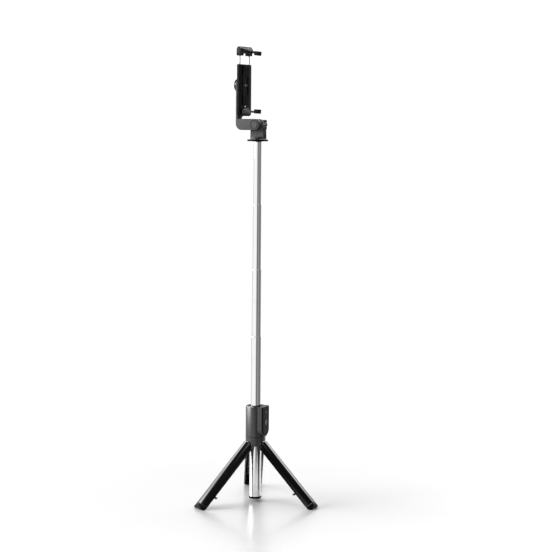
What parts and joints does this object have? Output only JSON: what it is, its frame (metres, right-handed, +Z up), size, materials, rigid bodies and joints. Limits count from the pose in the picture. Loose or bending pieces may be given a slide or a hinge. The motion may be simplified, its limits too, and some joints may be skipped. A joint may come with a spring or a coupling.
{
  "type": "tripod selfie stick",
  "caption": "Telescopic selfie stick on a folding tripod, with a docked remote, a tilting head and a spring-free phone clamp.",
  "frame": {"origin": "on the ground, under the middle of the open stick's bounding box; the tube's axis is 21.2 mm from it along -Y", "axes": "+Z up along the tube; +Y towards the rear leg; +X towards the side of the right leg and the docked remote"},
  "size_m": [0.1832, 0.1626, 0.6762],
  "materials": {
    "chrome": "mirror plating on the tube sections and rods",
    "steel": "bright zinc-plated steel",
    "gloss_black": "glossy black moulding",
    "satin_black": "fine satin black moulding",
    "grey_plastic": "satin charcoal moulding",
    "rubber": "soft black rubber",
    "brass": "plain turned brass",
    "board": "green solder mask",
    "cell": "bright steel can"
  },
  "bodies": {
    "base": {"base_tube": "chrome", "base_cap": "gloss_black", "leg_carrier": "satin_black", "hub_core": "satin_black", "hub_sleeve": "satin_black", "hub_collar": "gloss_black", "leg_pin_right": "steel", "leg_pin_left": "steel", "leg_pin_rear": "steel"},
    "right_leg": {"leg_right": "gloss_black", "foot_right": "rubber", "leg_peg_right": "satin_black"},
    "left_leg": {"leg_left": "gloss_black", "foot_left": "rubber", "leg_peg_left": "satin_black"},
    "rear_leg": {"leg_rear": "gloss_black", "foot_rear": "rubber", "leg_peg_rear": "satin_black"},
    "section_2": {"tube_2": "chrome", "tube_2_bush": "brass"},
    "section_3": {"tube_3": "chrome", "tube_3_bush": "brass"},
    "section_4": {"tube_4": "chrome", "tube_4_bush": "brass"},
    "section_5": {"top_tube": "chrome", "top_tube_bush": "brass", "head_spindle": "steel"},
    "head": {"head_flange": "gloss_black", "head_block": "grey_plastic", "tilt_bolt": "grey_plastic"},
    "wing_knob": {"tilt_knob": "gloss_black"},
    "neck": {"neck_arm": "grey_plastic", "swivel_washer": "steel", "swivel_bolt": "steel"},
    "back_knob": {"swivel_knob": "gloss_black"},
    "clamp": {"clamp_back": "satin_black", "clamp_front": "satin_black", "grip_panel": "rubber", "clamp_rivet": "chrome", "clamp_screw_upper": "steel", "clamp_screw_lower": "steel", "lower_jaw": "grey_plastic", "lower_jaw_pad": "rubber"},
    "jaw": {"upper_jaw": "grey_plastic", "upper_jaw_pad": "rubber", "jaw_rod_near": "chrome", "jaw_rod_far": "chrome", "rod_bridge": "steel"},
    "remote": {"remote_tray": "satin_black", "remote_cover": "satin_black", "remote_board": "board", "remote_cell": "cell"},
    "shutter": {"shutter_button": "gloss_black"},
    "mode": {"mode_button": "gloss_black"}
  },
  "joints": [
    {"name": "right_leg_fold", "type": "hinge", "parent": "base", "child": "right_leg", "pos_m": [0.01002, -0.02697, 0.08986], "axis": [0.5, 0.866, 0], "range_deg": [0, 44.5]},
    {"name": "left_leg_fold", "type": "hinge", "parent": "base", "child": "left_leg", "pos_m": [-0.0099, -0.02697, 0.08986], "axis": [0.5, -0.866, 0], "range_deg": [0, 44.5]},
    {"name": "rear_leg_fold", "type": "hinge", "parent": "base", "child": "rear_leg", "pos_m": [0.00006, -0.00972, 0.08986], "axis": [-1, 0, 0], "range_deg": [0, 44.5]},
    {"name": "section_2_slide", "type": "slide", "parent": "base", "child": "section_2", "axis": [0, 0, 1], "range_m": [-0.1015, 0]},
    {"name": "section_3_slide", "type": "slide", "parent": "section_2", "child": "section_3", "axis": [0, 0, 1], "range_m": [-0.0972, 0]},
    {"name": "section_4_slide", "type": "slide", "parent": "section_3", "child": "section_4", "axis": [0, 0, 1], "range_m": [-0.0933, 0]},
    {"name": "section_5_slide", "type": "slide", "parent": "section_4", "child": "section_5", "axis": [0, 0, 1], "range_m": [-0.0895, 0]},
    {"name": "head_turn", "type": "hinge", "parent": "section_5", "child": "head", "pos_m": [0.00006, -0.02122, 0.53826], "axis": [0, 0, 1], "continuous": true},
    {"name": "neck_tilt", "type": "hinge", "parent": "head", "child": "neck", "pos_m": [0.00006, -0.02122, 0.56276], "axis": [-0.5736, -0.8192, 0], "range_deg": [-90, 35]},
    {"name": "wing_knob_turn", "type": "hinge", "parent": "head", "child": "wing_knob", "pos_m": [0.00867, -0.00893, 0.56276], "axis": [0.5736, 0.8192, 0], "range_deg": [-180, 90]},
    {"name": "clamp_swivel", "type": "hinge", "parent": "neck", "child": "clamp", "pos_m": [-0.02205, -0.00573, 0.62006], "axis": [0.8192, -0.5736, 0], "range_deg": [-90, 90]},
    {"name": "back_knob_turn", "type": "hinge", "parent": "neck", "child": "back_knob", "pos_m": [-0.02861, -0.00114, 0.62006], "axis": [0.8192, -0.5736, 0], "range_deg": [-180, 90]},
    {"name": "jaw_slide", "type": "slide", "parent": "clamp", "child": "jaw", "axis": [0, 0, 1], "range_m": [-0.012, 0.014]},
    {"name": "remote_pull", "type": "slide", "parent": "base", "child": "remote", "axis": [0.866, -0.5, 0], "range_m": [0, 0.012]},
    {"name": "shutter_press", "type": "slide", "parent": "remote", "child": "shutter", "axis": [-0.866, 0.5, 0], "range_m": [0, 0.0004], "stiffness_N_per_m": 1500},
    {"name": "mode_press", "type": "slide", "parent": "remote", "child": "mode", "axis": [-0.866, 0.5, 0], "range_m": [0, 0.0004], "stiffness_N_per_m": 1500}
  ]
}
